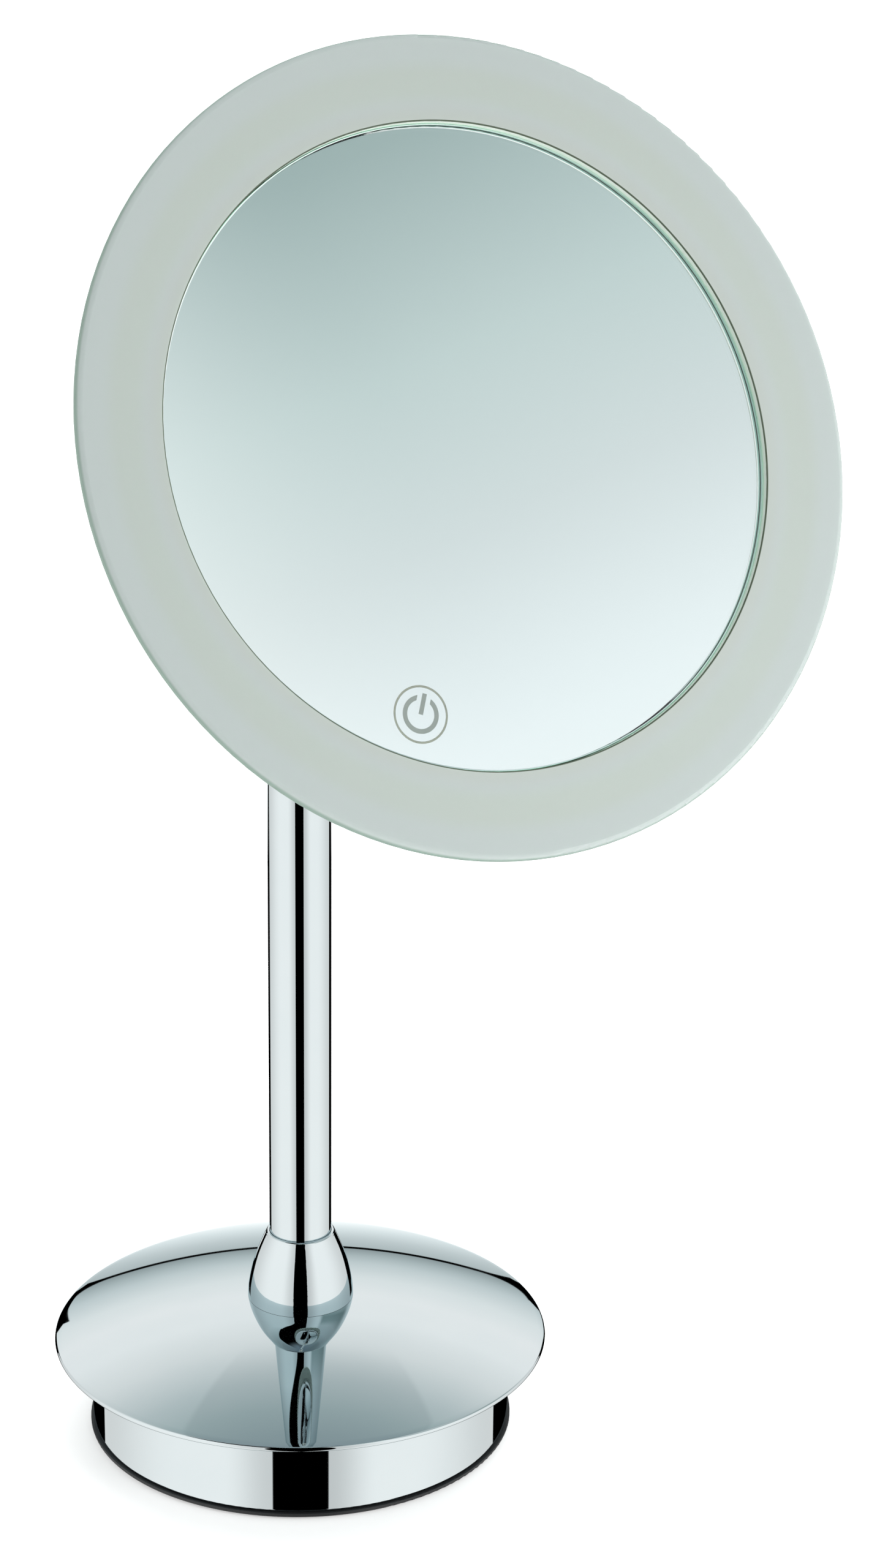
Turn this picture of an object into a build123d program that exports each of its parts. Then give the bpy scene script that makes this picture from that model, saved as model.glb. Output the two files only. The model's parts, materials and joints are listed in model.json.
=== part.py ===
from build123d import *
import os
from math import asin, cos, degrees, radians, sin, sqrt, tan

# A lighted vanity mirror on a weighted round base. Millimetres and degrees, +Z up. The origin is on the
# table under the post's axis. At rest the head looks towards -Y, tilted up and rolled about its own axis.

os.makedirs("parts", exist_ok=True)

# ------------------------------------------------------------------ driving dimensions
gap = 0.05  # running and assembly clearance between close-fitting pieces
thread_gap = 0.03  # round a screw in its threaded hole
head_gap = 0.15  # round a countersunk head
cut_depth = 60.0  # longer than any hole it is used for

# base
foot_radius = 62.0
drum_radius = 61.2
drum_bottom = 1.7
drum_edge_round = 0.8
sheet = 1.5  # chromed steel sheet of the drum and the dome
dome_radius = 72.0
dome_edge_height = 28.0
dome_rise = 11.4
dome_bead = 0.8
plate_bottom = 0.5
plate_top = 3.4
plate_rim_height = 2.6  # upstand that centres the drum
plate_rim_wall = 1.8
plate_edge_round = 0.5
foot_ring_outer = 58.0
foot_ring_inner = 53.0
foot_ring_depth = 1.4
base_screw_circle = 48.3
base_screw_count = 3
base_screw_start = 150.0
base_screw_head = 4.0
base_screw_radius = 2.0
base_screw_length = 12.0
weight_floor = 22.0
weight_deck = 30.0
weight_radius = 55.5
weight_skirt_inner = 43.2

# batteries, lying along Y side by side
cell_radius = 7.1
cell_length = 49.5
cell_pitch = 15.1
cell_height = 10.2
cell_count = 4
tray_size = (64.0, 56.0)
tray_wall = 1.0
tray_top = 20.0

# post
post_radius = 9.0
post_bore = 7.5
post_top = 272.0
dome_washer_thickness = 0.6
nipple_radius = 6.0
collar_height = 20.9
collar_foot_radius = 15.4
collar_cavity_radius = 13.4
lead_radius = 1.2

# head and its place
head_radius = 102.5
head_reach = 105.7  # from the post's axis to the centre of the front rim, along the table
head_height = 316.2
head_tilt = 25.1
head_roll = 23.0
ball_depth = 44.0  # from the front rim's plane back to the ball's centre
lip_radius = 80.7
lip_depth = 1.5
glass_radius = 80.45
glass_depth = 3.0
glass_thickness = 2.0
silver_gap = 0.02
silver_thickness = 0.15
silver_inset = 0.3
shell_sheet = 1.0
hub_depth = 21.3  # back of the rear shell's flat middle
led_count = 36
ring_collar_radius = 84.0  # outside of the collar that takes the light into the ring
ring_collar_depth = 9.2
shell_wall_radius = 85.5
shell_screw_circle = 70.0
shell_screw_count = 4
shell_screw_head = 2.4
shell_screw_rise = 1.4
shell_screw_radius = 1.2
shell_screw_length = 8.0
symbol_circle = 69.0

# swivel hub and arm
hub_radius = 13.0
hub_bottom = 274.3
hub_top = 305.0
spigot_radius = 6.0
bush_radius = 8.0
bush_top = 284.2
arm_radius = 5.5
arm_bore = 3.0
arm_end = 50.0

# ball joint
ball_radius = 11.0
neck_radius = 4.0
seat_inner = 11.08
seat_outer = 13.0
cavity_radius = 13.08
seat_opening = 52.5
ring_opening = 58.5
housing_radius = 17.0
spigot_wall_radius = 15.0
flange_radius = 27.0
flange_thickness = 3.0
housing_screw_circle = 21.5
housing_screw_count = 4
housing_screw_start = 45.0
housing_screw_head = 3.1
housing_screw_rise = 2.1
housing_screw_radius = 1.5
housing_screw_length = 13.0
housing_screw_hole = 1.7

# ------------------------------------------------------------------ worked-out places
dome_apex = dome_edge_height + dome_rise
post_bottom = dome_apex + dome_washer_thickness
dome_sphere = (dome_radius**2 + dome_rise**2) / (2 * dome_rise)


def dome_outside(radius):
    """Height of the dome's outer surface."""
    return dome_apex - dome_sphere + sqrt(dome_sphere**2 - radius**2)


def dome_inside(radius):
    """Height of the dome's inner surface."""
    return dome_apex - dome_sphere + sqrt((dome_sphere - sheet) ** 2 - radius**2)


# Head directions: towards the viewer, then the viewer's right and up before and after the roll.
tilt = radians(head_tilt)
roll = radians(head_roll)
forward = Vector(0, -cos(tilt), sin(tilt))
right = Vector(1, 0, 0)
up = Vector(0, sin(tilt), cos(tilt))
rolled_right = right * cos(roll) - up * sin(roll)
face_centre = Vector(0, -head_reach, head_height)
ball_centre = face_centre - forward * ball_depth
arm_height = ball_centre.Z
ball_reach = -ball_centre.Y

head_axis = Axis(face_centre, -forward)
# In a head section, x is the radius and y is the depth behind the front rim's plane.
head_section = Plane(origin=face_centre, x_dir=right, z_dir=right.cross(-forward))


def head_level(depth):
    """A plane across the head, facing the viewer: x to the viewer's right and y up, with the roll."""
    return Plane(origin=face_centre - forward * depth, x_dir=rolled_right, z_dir=forward)


def on_sphere(radius, angle):
    """A point of a head section on a sphere about the ball, at an angle from the rearward axis."""
    turn = radians(angle)
    return (radius * sin(turn), ball_depth + radius * cos(turn))


def save(piece, name):
    """Names a finished piece and writes its file."""
    piece.part.label = name
    export_step(piece.part, f"parts/{name}.step")


def countersunk_screw(head, shank, length):
    """A countersunk screw pointing up +Z, with the flat of its head at z = 0 and a cross recess."""
    cone = head - shank
    with BuildPart() as screw:
        with BuildSketch(Plane.XZ):
            with BuildLine():
                Polyline((0, 0), (head, 0), (shank, cone), (shank, length), (0, length), close=True)
            make_face()
        revolve(axis=Axis.Z)
        with BuildSketch(Plane.XY):
            Rectangle(1.2 * head, 0.25 * head)
            Rectangle(0.25 * head, 1.2 * head)
        extrude(amount=0.6 * cone, mode=Mode.SUBTRACT)
    return screw.part


def screw_seat(head, shank):
    """The space a countersunk screw needs, its cone starting at z = 0 and its shank going up."""
    wide = head + head_gap
    narrow = shank + gap
    with BuildPart() as seat:
        Cone(wide, narrow, wide - narrow, align=(Align.CENTER, Align.CENTER, Align.MIN))
        Cylinder(narrow, cut_depth)
    return seat.part


def pan_screw(head, rise, shank, length):
    """A pan-head screw pointing up +Z, its head below z = 0 and its shank above, with a cross recess."""
    with BuildPart() as screw:
        with BuildSketch(Plane.XZ):
            with BuildLine():
                Line((0, -rise), (0.6 * head, -rise))
                ThreePointArc((0.6 * head, -rise), (0.9 * head, -0.75 * rise), (head, -0.3 * rise))
                Polyline((head, -0.3 * rise), (head, 0), (shank, 0))
                Polyline((shank, 0), (shank, length), (0, length), (0, -rise))
            make_face()
        revolve(axis=Axis.Z)
        with BuildSketch(Plane.XY.offset(-rise)):
            Rectangle(head, 0.25 * head)
            Rectangle(0.25 * head, head)
        extrude(amount=0.6 * rise, mode=Mode.SUBTRACT)
    return screw.part


# ------------------------------------------------------------------ base
with BuildPart() as foot_ring:
    with BuildSketch(Plane.XY):
        Circle(foot_ring_outer)
        Circle(foot_ring_inner, mode=Mode.SUBTRACT)
    extrude(amount=foot_ring_depth)
    chamfer(foot_ring.edges().group_by(Axis.Z)[0], length=0.4)
save(foot_ring, "foot_ring")

cover_size = (64.2, 57.2)
cover_thickness = 1.4
cover_clearance = 0.2
tab_width = 12.0
tab_reach = 36.0  # along +Y, past the cells
cover_screw_y = 32.0
cover_screw_head = 2.9
cover_screw_radius = 1.5
cover_screw_length = 6.0
cover_boss_radius = 2.9
cover_boss_height = 4.0
cover_ledge = 2.0  # width of the rim the cover closes against
grip_length = 24.0
grip_width = 1.2
grip_pitch = 2.4
grip_count = 6
grip_depth = 0.5

with BuildPart() as base_plate:
    with BuildSketch(Plane.XY.offset(plate_bottom)):
        Circle(foot_radius)
    extrude(amount=drum_bottom - plate_bottom)
    plate_fit = drum_radius - sheet - 0.2
    with BuildSketch(Plane.XY.offset(drum_bottom)):
        Circle(plate_fit)
    extrude(amount=plate_top - drum_bottom)
    with BuildSketch(Plane.XY.offset(plate_top)):
        Circle(plate_fit)
        Circle(plate_fit - plate_rim_wall, mode=Mode.SUBTRACT)
    extrude(amount=plate_rim_height)
    fillet(base_plate.edges().group_by(Axis.Z)[0], radius=plate_edge_round)
    with BuildSketch(Plane.XY.offset(plate_bottom)):
        Circle(foot_ring_outer + gap)
        Circle(foot_ring_inner - gap, mode=Mode.SUBTRACT)
    extrude(amount=foot_ring_depth - plate_bottom, mode=Mode.SUBTRACT)
    with BuildSketch(Plane.XY.offset(plate_bottom)):
        Rectangle(cover_size[0] + 2 * cover_clearance, cover_size[1] + 2 * cover_clearance)
        with Locations((0, tab_reach / 2)):
            Rectangle(tab_width + 2 * cover_clearance, tab_reach + 2 * cover_clearance)
    extrude(amount=cover_thickness + 0.1, mode=Mode.SUBTRACT)
    with BuildSketch(Plane.XY.offset(plate_bottom)):
        Rectangle(cover_size[0] - 2 * cover_ledge, cover_size[1] - 2 * cover_ledge)
    extrude(amount=plate_top, mode=Mode.SUBTRACT)
    with BuildSketch(Plane.XY.offset(plate_top)):
        with Locations((0, cover_screw_y)):
            Circle(cover_boss_radius)
    extrude(amount=cover_boss_height)
    with Locations((0, cover_screw_y, plate_top)):
        Cylinder(cover_screw_radius + thread_gap, cut_depth, mode=Mode.SUBTRACT)
    with PolarLocations(base_screw_circle, base_screw_count, start_angle=base_screw_start):
        with Locations((0, 0, plate_bottom)):
            add(screw_seat(base_screw_head, base_screw_radius), mode=Mode.SUBTRACT)
save(base_plate, "base_plate")

with BuildPart() as battery_cover:
    with BuildSketch(Plane.XY.offset(plate_bottom)):
        Rectangle(*cover_size)
        with Locations((0, tab_reach / 2)):
            Rectangle(tab_width, tab_reach)
    extrude(amount=cover_thickness)
    fillet(battery_cover.edges().filter_by(Axis.Z), radius=0.15)
    with BuildSketch(Plane.XY.offset(plate_bottom)):
        with GridLocations(0, grip_pitch, 1, grip_count):
            SlotOverall(grip_length, grip_width)
    extrude(amount=grip_depth, mode=Mode.SUBTRACT)
    with Locations((0, cover_screw_y, plate_bottom)):
        add(screw_seat(cover_screw_head, cover_screw_radius), mode=Mode.SUBTRACT)
save(battery_cover, "battery_cover")

with BuildPart() as battery_cover_screw:
    with Locations((0, cover_screw_y, plate_bottom + gap)):
        add(countersunk_screw(cover_screw_head, cover_screw_radius, cover_screw_length))
save(battery_cover_screw, "battery_cover_screw")

with BuildPart() as base_screws:
    with PolarLocations(base_screw_circle, base_screw_count, start_angle=base_screw_start):
        with Locations((0, 0, plate_bottom + gap)):
            add(countersunk_screw(base_screw_head, base_screw_radius, base_screw_length))
save(base_screws, "base_screws")

with BuildPart() as base_drum:
    with BuildSketch(Plane.XZ):
        with BuildLine():
            inner_wall = drum_radius - sheet
            Polyline(
                (inner_wall, drum_bottom),
                (drum_radius, drum_bottom),
                (drum_radius, dome_inside(drum_radius) - gap),
                (inner_wall, dome_inside(inner_wall) - gap),
                close=True,
            )
        make_face()
    revolve(axis=Axis.Z)
    fillet(base_drum.edges().group_by(Axis.Z)[0].sort_by(SortBy.LENGTH)[-1:], radius=drum_edge_round)
save(base_drum, "base_drum")

with BuildPart() as dome_cover:
    hole = nipple_radius + 0.3
    edge = dome_radius - dome_bead
    middle = dome_radius / 2
    with BuildSketch(Plane.XZ):
        with BuildLine():
            ThreePointArc(
                (hole, dome_outside(hole)),
                (middle, dome_outside(middle)),
                (edge, dome_outside(edge)),
            )
            Line((edge, dome_outside(edge)), (edge, dome_inside(edge)))
            ThreePointArc(
                (edge, dome_inside(edge)),
                (middle, dome_inside(middle)),
                (hole, dome_inside(hole)),
            )
            Line((hole, dome_inside(hole)), (hole, dome_outside(hole)))
        make_face()
        with Locations((edge, dome_outside(edge) - dome_bead)):
            Circle(dome_bead)
    revolve(axis=Axis.Z)
save(dome_cover, "dome_cover")

with BuildPart() as counterweight:
    boss_radius = 22.0
    boss_middle = boss_radius / 1.5
    pocket_radius = 12.0
    pocket_top = 27.0
    bore = nipple_radius + 0.3
    tapped_depth = 10.5
    lifting_hole_radius = 3.0
    lifting_hole_depth = 4.0
    with BuildSketch(Plane.XZ):
        with BuildLine():
            Polyline(
                (boss_radius, dome_inside(boss_radius) - gap),
                (boss_radius + 2, weight_deck),
                (weight_radius, weight_deck),
                (weight_radius, plate_top),
                (weight_skirt_inner, plate_top),
                (weight_skirt_inner, weight_floor),
                (pocket_radius, weight_floor),
                (pocket_radius, pocket_top),
                (bore, pocket_top),
                (bore, dome_inside(bore) - gap),
            )
            ThreePointArc(
                (bore, dome_inside(bore) - gap),
                (boss_middle, dome_inside(boss_middle) - gap),
                (boss_radius, dome_inside(boss_radius) - gap),
            )
        make_face()
    revolve(axis=Axis.Z)
    with PolarLocations(base_screw_circle, base_screw_count, start_angle=base_screw_start):
        with Locations((0, 0, plate_top)):
            Cylinder(base_screw_radius + thread_gap, 2 * tapped_depth, mode=Mode.SUBTRACT)
    with PolarLocations((weight_radius + weight_skirt_inner) / 2, 3, start_angle=90):
        with Locations((0, 0, weight_deck)):
            Cylinder(lifting_hole_radius, lifting_hole_depth * 2, mode=Mode.SUBTRACT)
save(counterweight, "counterweight")

# ------------------------------------------------------------------ batteries
cell_places = [(i - (cell_count - 1) / 2) * cell_pitch for i in range(cell_count)]
cell_ends = [1 if i % 2 == 0 else -1 for i in range(cell_count)]
inner_length = tray_size[1] - 2 * tray_wall
tray_roof = 1.5
divider_bottom = 13.0
divider_thickness = 0.6
lead_hole_radius = 1.9
cell_button_radius = 2.75
cell_button_height = 1.2

with BuildPart() as battery_tray:
    with BuildSketch(Plane.XY.offset(plate_top)):
        Rectangle(*tray_size)
    extrude(amount=tray_top - plate_top)
    with BuildSketch(Plane.XY.offset(plate_top)):
        Rectangle(tray_size[0] - 2 * tray_wall, inner_length)
    extrude(amount=tray_top - plate_top - tray_roof, mode=Mode.SUBTRACT)
    with BuildSketch(Plane.XY.offset(divider_bottom)):
        with GridLocations(cell_pitch, 0, cell_count - 1, 1):
            Rectangle(divider_thickness, inner_length)
    extrude(amount=tray_top - divider_bottom - tray_roof / 2)
    with BuildSketch(Plane.XY.offset(tray_top - 2 * tray_roof)):
        Circle(lead_hole_radius)
    extrude(amount=2 * tray_roof, mode=Mode.SUBTRACT)
save(battery_tray, "battery_tray")

with BuildPart() as aa_cells:
    for cell_x, cell_end in zip(cell_places, cell_ends):
        start = Plane(
            origin=(cell_x, -cell_end * cell_length / 2, cell_height),
            x_dir=(1, 0, 0),
            z_dir=(0, cell_end, 0),
        )
        with BuildSketch(start):
            Circle(cell_radius)
        extrude(amount=cell_length)
        with BuildSketch(start.offset(cell_length)):
            Circle(cell_button_radius)
        extrude(amount=cell_button_height)
save(aa_cells, "aa_cells")

with BuildPart() as contact_plates:
    contact_sheet = 0.4
    contact_width = 9.0
    contact_height = 10.0
    for cell_x, cell_end in zip(cell_places, cell_ends):
        with Locations((cell_x, cell_end * (inner_length / 2 - gap - contact_sheet / 2), cell_height)):
            Box(contact_width, contact_sheet, contact_height)
save(contact_plates, "contact_plates")

with BuildPart() as contact_springs:
    spring_half = 4.0
    spring_foot = 0.6
    spring_width = 5.0
    for cell_x, cell_end in zip(cell_places, cell_ends):
        wall = -cell_end * (inner_length / 2 - gap)
        crest = -cell_end * (cell_length / 2 + gap)
        with BuildSketch(Plane.XY.offset(cell_height - spring_width / 2)):
            with BuildLine():
                Polyline(
                    (cell_x - spring_half, wall),
                    (cell_x - spring_half + spring_foot, wall),
                    (cell_x, crest - cell_end * contact_sheet),
                    (cell_x + spring_half - spring_foot, wall),
                    (cell_x + spring_half, wall),
                    (cell_x, crest),
                    close=True,
                )
            make_face()
        extrude(amount=spring_width)
save(contact_springs, "contact_springs")

# ------------------------------------------------------------------ post and its clamp
nipple_bottom = 22.4
nipple_top = 52.0
nipple_bore = 3.0
washer_thickness = 0.8
lock_washer_radius = 10.5
dome_washer_radius = 12.4
washer_clearance = 0.2
nut_height = 3.6
nut_flats = 19.0
plug_length = 14.0

with BuildPart() as threaded_nipple:
    with BuildSketch(Plane.XY.offset(nipple_bottom)):
        Circle(nipple_radius)
        Circle(nipple_bore, mode=Mode.SUBTRACT)
    extrude(amount=nipple_top - nipple_bottom)
    chamfer(threaded_nipple.edges().group_by(Axis.Z)[0].sort_by(SortBy.LENGTH)[-1:], length=0.6)
save(threaded_nipple, "threaded_nipple")

with BuildPart() as lock_washer:
    with BuildSketch(Plane.XY.offset(pocket_top - washer_thickness)):
        Circle(lock_washer_radius)
        Circle(nipple_radius + washer_clearance, mode=Mode.SUBTRACT)
        with Locations(((lock_washer_radius + nipple_radius) / 2, 0)):
            Rectangle(lock_washer_radius - nipple_radius + 1.5, 1.0, rotation=20, mode=Mode.SUBTRACT)
    extrude(amount=washer_thickness)
save(lock_washer, "lock_washer")

with BuildPart() as clamp_nut:
    with BuildSketch(Plane.XY.offset(pocket_top - washer_thickness - nut_height)):
        RegularPolygon(nut_flats / 2, 6, major_radius=False)
        Circle(nipple_radius + gap, mode=Mode.SUBTRACT)
    extrude(amount=nut_height)
save(clamp_nut, "clamp_nut")

with BuildPart() as dome_washer:
    with BuildSketch(Plane.XY.offset(dome_apex)):
        Circle(dome_washer_radius)
        Circle(nipple_radius + washer_clearance, mode=Mode.SUBTRACT)
    extrude(amount=dome_washer_thickness)
save(dome_washer, "dome_washer")

with BuildPart() as post_plug:
    with BuildSketch(Plane.XY.offset(post_bottom)):
        Circle(post_bore - gap)
        Circle(nipple_radius + gap, mode=Mode.SUBTRACT)
    extrude(amount=plug_length)
save(post_plug, "post_plug")

with BuildPart() as post_tube:
    with BuildSketch(Plane.XY.offset(post_bottom)):
        Circle(post_radius)
        Circle(post_bore, mode=Mode.SUBTRACT)
    extrude(amount=post_top - post_bottom)
save(post_tube, "post_tube")

with BuildPart() as post_collar:
    collar_foot = dome_outside(collar_foot_radius) + gap
    collar_top = collar_foot + collar_height
    collar_bore = post_radius + 0.12
    with BuildSketch(Plane.XZ):
        with BuildLine():
            bell = Spline(
                (collar_foot_radius, collar_foot),
                (15.2, collar_foot + 3.4),
                (14.6, collar_foot + 6.9),
                (13.8, collar_foot + 10.3),
                (12.6, collar_foot + 14.2),
                (11.1, collar_foot + 17.9),
                (10.15, collar_foot + 20.1),
                tangents=((0.0, 1.0), (-0.44, 1.0)),
            )
            lip = ThreePointArc(bell @ 1, (9.95, collar_foot + 20.65), (9.6, collar_top))
            Polyline(
                lip @ 1,
                (collar_bore, collar_top),
                (collar_bore, collar_foot + 8.0),
                (collar_cavity_radius, collar_foot + 4.6),
                (collar_cavity_radius, dome_outside(collar_cavity_radius) + gap),
                bell @ 0,
            )
        make_face()
    revolve(axis=Axis.Z)
save(post_collar, "post_collar")

spigot_top = 289.0
spigot_plug = 20.0
spigot_shoulder = 1.5
spigot_bore = 3.2
clip_groove = 285.6
clip_groove_depth = 0.7
clip_thickness = 1.0
clip_radius = 7.8
clip_opening = (5.0, 6.0)
thrust_washer_radius = 10.5
retaining_washer_radius = 9.2

with BuildPart() as post_spigot:
    with BuildSketch(Plane.XY.offset(post_top - spigot_plug)):
        Circle(post_bore - gap)
    extrude(amount=spigot_plug)
    with BuildSketch(Plane.XY.offset(post_top)):
        Circle(post_radius)
    extrude(amount=spigot_shoulder)
    with BuildSketch(Plane.XY.offset(post_top + spigot_shoulder)):
        Circle(spigot_radius)
    extrude(amount=spigot_top - post_top - spigot_shoulder)
    with BuildSketch(Plane.XY.offset(clip_groove)):
        Circle(spigot_radius + 1)
        Circle(spigot_radius - clip_groove_depth, mode=Mode.SUBTRACT)
    extrude(amount=clip_thickness + 2 * gap, mode=Mode.SUBTRACT)
    with Locations((0, 0, post_top)):
        Cylinder(spigot_bore, cut_depth, mode=Mode.SUBTRACT)
save(post_spigot, "post_spigot")

with BuildPart() as thrust_washer:
    with BuildSketch(Plane.XY.offset(post_top + spigot_shoulder)):
        Circle(thrust_washer_radius)
        Circle(spigot_radius + washer_clearance, mode=Mode.SUBTRACT)
    extrude(amount=hub_bottom - post_top - spigot_shoulder - 2 * gap)
save(thrust_washer, "thrust_washer")

with BuildPart() as retaining_washer:
    with BuildSketch(Plane.XY.offset(bush_top + washer_clearance)):
        Circle(retaining_washer_radius)
        Circle(spigot_radius + gap, mode=Mode.SUBTRACT)
    extrude(amount=clip_groove - bush_top - washer_clearance - gap)
save(retaining_washer, "retaining_washer")

with BuildPart() as retaining_clip:
    with BuildSketch(Plane.XY.offset(clip_groove + gap)):
        Circle(clip_radius)
        Circle(spigot_radius - clip_groove_depth + gap, mode=Mode.SUBTRACT)
        with Locations((0, spigot_radius)):
            Rectangle(*clip_opening, mode=Mode.SUBTRACT)
    extrude(amount=clip_thickness)
save(retaining_clip, "retaining_clip")

with BuildPart() as post_lead:
    with BuildSketch(Plane.XY.offset(tray_top - 1)):
        Circle(lead_radius)
    extrude(amount=spigot_top - tray_top)
save(post_lead, "post_lead")

# ------------------------------------------------------------------ swivel hub and arm
chamber_radius = 9.5
hub_round = 1.0
cap_rise = 4.0
cap_plug = 3.0
arm_start = 9.7
ferrule_radius = 7.2
ferrule_length = 7.5
ferrule_chamfer = 1.2
push_fit = 0.02  # pieces pressed together

with BuildPart() as swivel_hub:
    with BuildSketch(Plane.XY.offset(hub_bottom)):
        Circle(hub_radius)
    extrude(amount=hub_top - hub_bottom)
    fillet(swivel_hub.edges().group_by(Axis.Z)[0], radius=hub_round)
    with BuildSketch(Plane.XY.offset(hub_bottom)):
        Circle(bush_radius)
    extrude(amount=bush_top - hub_bottom, mode=Mode.SUBTRACT)
    with BuildSketch(Plane.XY.offset(bush_top)):
        Circle(chamber_radius)
    extrude(amount=hub_top - bush_top, mode=Mode.SUBTRACT)
    with BuildSketch(Plane.XZ):
        with Locations((0, arm_height)):
            Circle(arm_radius + push_fit)
    extrude(amount=hub_radius + 1, mode=Mode.SUBTRACT)
save(swivel_hub, "swivel_hub")

with BuildPart() as hub_cap:
    cap_top = hub_top + cap_rise
    plug_radius = chamber_radius - gap
    plug_bottom = hub_top - cap_plug
    with BuildSketch(Plane.XZ):
        with BuildLine():
            Polyline(
                (0, cap_top),
                (0, plug_bottom),
                (plug_radius, plug_bottom),
                (plug_radius, hub_top),
                (hub_radius, hub_top),
                (hub_radius, hub_top + 1.0),
            )
            TangentArc((0, cap_top), (hub_radius, hub_top + 1.0), tangent=(1, 0))
        make_face()
    revolve(axis=Axis.Z)
save(hub_cap, "hub_cap")

with BuildPart() as swivel_bush:
    with BuildSketch(Plane.XY.offset(hub_bottom)):
        Circle(bush_radius - push_fit)
        Circle(spigot_radius + gap, mode=Mode.SUBTRACT)
    extrude(amount=bush_top - hub_bottom)
save(swivel_bush, "swivel_bush")


def arm_plane(distance):
    """A plane across the arm at a distance from the post's axis, facing along the arm."""
    return Plane(origin=(0, -distance, arm_height), x_dir=(1, 0, 0), z_dir=(0, -1, 0))


with BuildPart() as arm_tube:
    with BuildSketch(arm_plane(arm_start)):
        Circle(arm_radius)
        Circle(arm_bore, mode=Mode.SUBTRACT)
    extrude(amount=arm_end - arm_start)
save(arm_tube, "arm_tube")

with BuildPart() as arm_ferrule:
    with BuildSketch(arm_plane(hub_radius - 3)):
        Circle(ferrule_radius)
        Circle(arm_radius + gap, mode=Mode.SUBTRACT)
    extrude(amount=ferrule_length)
    chamfer(arm_ferrule.edges().group_by(Axis.Y)[0].sort_by(SortBy.LENGTH)[-1:], length=ferrule_chamfer)
    with BuildSketch(Plane.XY.offset(hub_bottom)):
        Circle(hub_radius + gap)
    extrude(amount=hub_top - hub_bottom, mode=Mode.SUBTRACT)
save(arm_ferrule, "arm_ferrule")

shank_reach = 9.0
stud_shoulder = 0.8
stud_bore = 1.6

with BuildPart() as ball_stud:
    with Locations(ball_centre):
        Sphere(ball_radius)
    with BuildSketch(arm_plane(arm_end)):
        Circle(neck_radius)
    extrude(amount=ball_reach - arm_end)
    with BuildSketch(arm_plane(arm_end)):
        Circle(arm_radius)
    extrude(amount=stud_shoulder)
    with BuildSketch(arm_plane(arm_end - shank_reach)):
        Circle(arm_bore - push_fit)
    extrude(amount=shank_reach)
    with BuildSketch(arm_plane(arm_end - shank_reach)):
        Circle(stud_bore)
    extrude(amount=ball_reach + ball_radius, mode=Mode.SUBTRACT)
save(ball_stud, "ball_stud")

with BuildPart() as arm_lead:
    bend = 7.0
    with BuildLine() as lead_route:
        rise = Line((0, 0, spigot_top - 0.7), (0, 0, arm_height - bend))
        turn = RadiusArc(rise @ 1, (0, -bend, arm_height), bend)
        Line(turn @ 1, (0, -(ball_reach + ball_radius - 1.5), arm_height))
    with BuildSketch(Plane(origin=rise @ 0, z_dir=(0, 0, 1))):
        Circle(lead_radius)
    sweep(path=lead_route.line)
save(arm_lead, "arm_lead")

# ------------------------------------------------------------------ ball joint
with BuildPart() as ball_seat:
    seat_end = 100.0
    mid_angle = (seat_opening + seat_end) / 2
    with BuildSketch(head_section):
        with BuildLine():
            ThreePointArc(
                on_sphere(seat_inner, seat_opening),
                on_sphere(seat_inner, mid_angle),
                on_sphere(seat_inner, seat_end),
            )
            Line(on_sphere(seat_inner, seat_end), on_sphere(seat_outer, seat_end))
            ThreePointArc(
                on_sphere(seat_outer, seat_end),
                on_sphere(seat_outer, mid_angle),
                on_sphere(seat_outer, seat_opening),
            )
            Line(on_sphere(seat_outer, seat_opening), on_sphere(seat_inner, seat_opening))
        make_face()
    revolve(axis=head_axis)
save(ball_seat, "ball_seat")

with BuildPart() as friction_pad:
    pad_start = 140.0
    pad_end = 167.0
    pad_middle = (pad_start + pad_end) / 2
    with BuildSketch(head_section):
        with BuildLine():
            ThreePointArc(
                on_sphere(seat_inner, pad_start),
                on_sphere(seat_inner, pad_middle),
                on_sphere(seat_inner, pad_end),
            )
            Line(on_sphere(seat_inner, pad_end), on_sphere(seat_outer, pad_end))
            ThreePointArc(
                on_sphere(seat_outer, pad_end),
                on_sphere(seat_outer, pad_middle),
                on_sphere(seat_outer, pad_start),
            )
            Line(on_sphere(seat_outer, pad_start), on_sphere(seat_inner, pad_start))
        make_face()
    revolve(axis=head_axis)
save(friction_pad, "friction_pad")

cup_radius = 8.4
cup_back = 36.0
cup_front = 27.0
cup_bore = 2.6
housing_floor = 22.8

with BuildPart() as spring_cup:
    with BuildSketch(head_level(cup_back)):
        Circle(cup_radius)
        Circle(cup_bore, mode=Mode.SUBTRACT)
    extrude(amount=cup_back - cup_front)
    with Locations(ball_centre):
        Sphere(cavity_radius, mode=Mode.SUBTRACT)
save(spring_cup, "spring_cup")

spring_leans = [0.2, -0.2, 0.2, -0.2]  # discs stacked in turn, each coned against the next
spring_pitch = (cup_front - housing_floor) / len(spring_leans)
spring_bore = 3.2
spring_radius = 8.0
spring_half_sheet = 0.25

with BuildPart() as disc_springs:
    for number, lean in enumerate(spring_leans):
        middle_depth = housing_floor + spring_pitch * (number + 0.5)
        bore_depth = middle_depth - lean
        edge_depth = middle_depth + lean
        with BuildSketch(head_section):
            with BuildLine():
                Polyline(
                    (spring_bore, bore_depth - spring_half_sheet),
                    (spring_radius, edge_depth - spring_half_sheet),
                    (spring_radius, edge_depth + spring_half_sheet),
                    (spring_bore, bore_depth + spring_half_sheet),
                    close=True,
                )
            make_face()
        revolve(axis=head_axis)
save(disc_springs, "disc_springs")

housing_end = 46.5
barrel_end = 42.0
lead_passage = 3.0

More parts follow.
